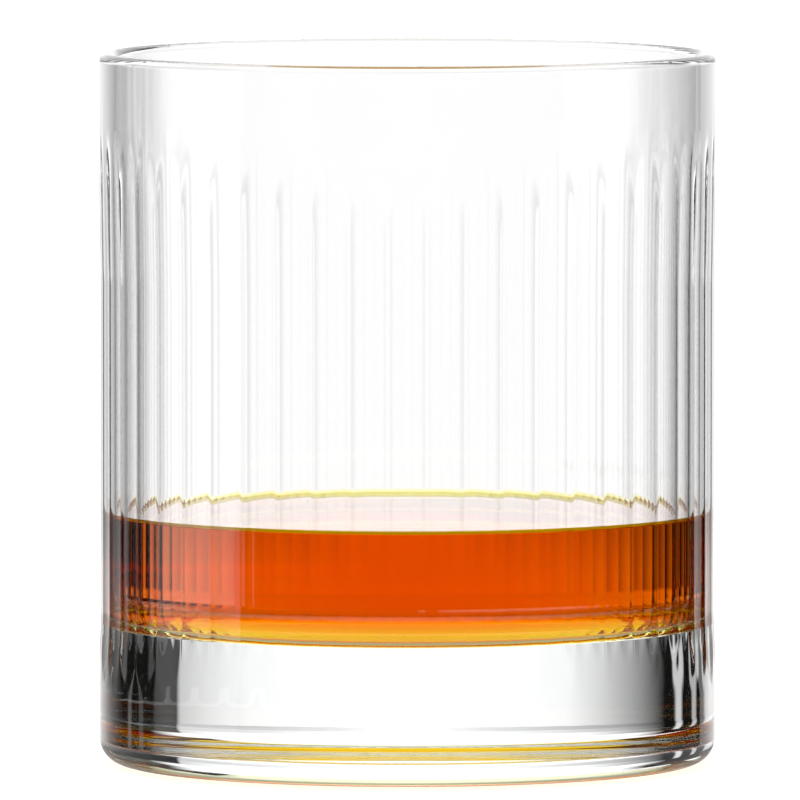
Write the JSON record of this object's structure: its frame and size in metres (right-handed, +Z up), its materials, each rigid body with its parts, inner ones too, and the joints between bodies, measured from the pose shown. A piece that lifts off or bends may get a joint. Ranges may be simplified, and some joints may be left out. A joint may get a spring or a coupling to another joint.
{
  "type": "whiskey tumbler",
  "caption": "Straight-sided, heavy-based clear glass tumbler with fine vertical flutes on its wall, holding a shallow pour of amber whiskey.",
  "frame": {"origin": "centre of the base, on the plane that the glass rests on", "axes": "+Z up along the glass's axis, -Y towards the front, where one flute faces the viewer; the glass is round, so X and Y are otherwise alike"},
  "size_m": [0.084, 0.084, 0.097],
  "materials": {
    "clear_glass": "clear, fire-polished crystal",
    "whiskey": "clear amber liquid"
  },
  "bodies": {
    "root": {"tumbler_glass": "clear_glass", "whiskey": "whiskey"}
  },
  "joints": []
}
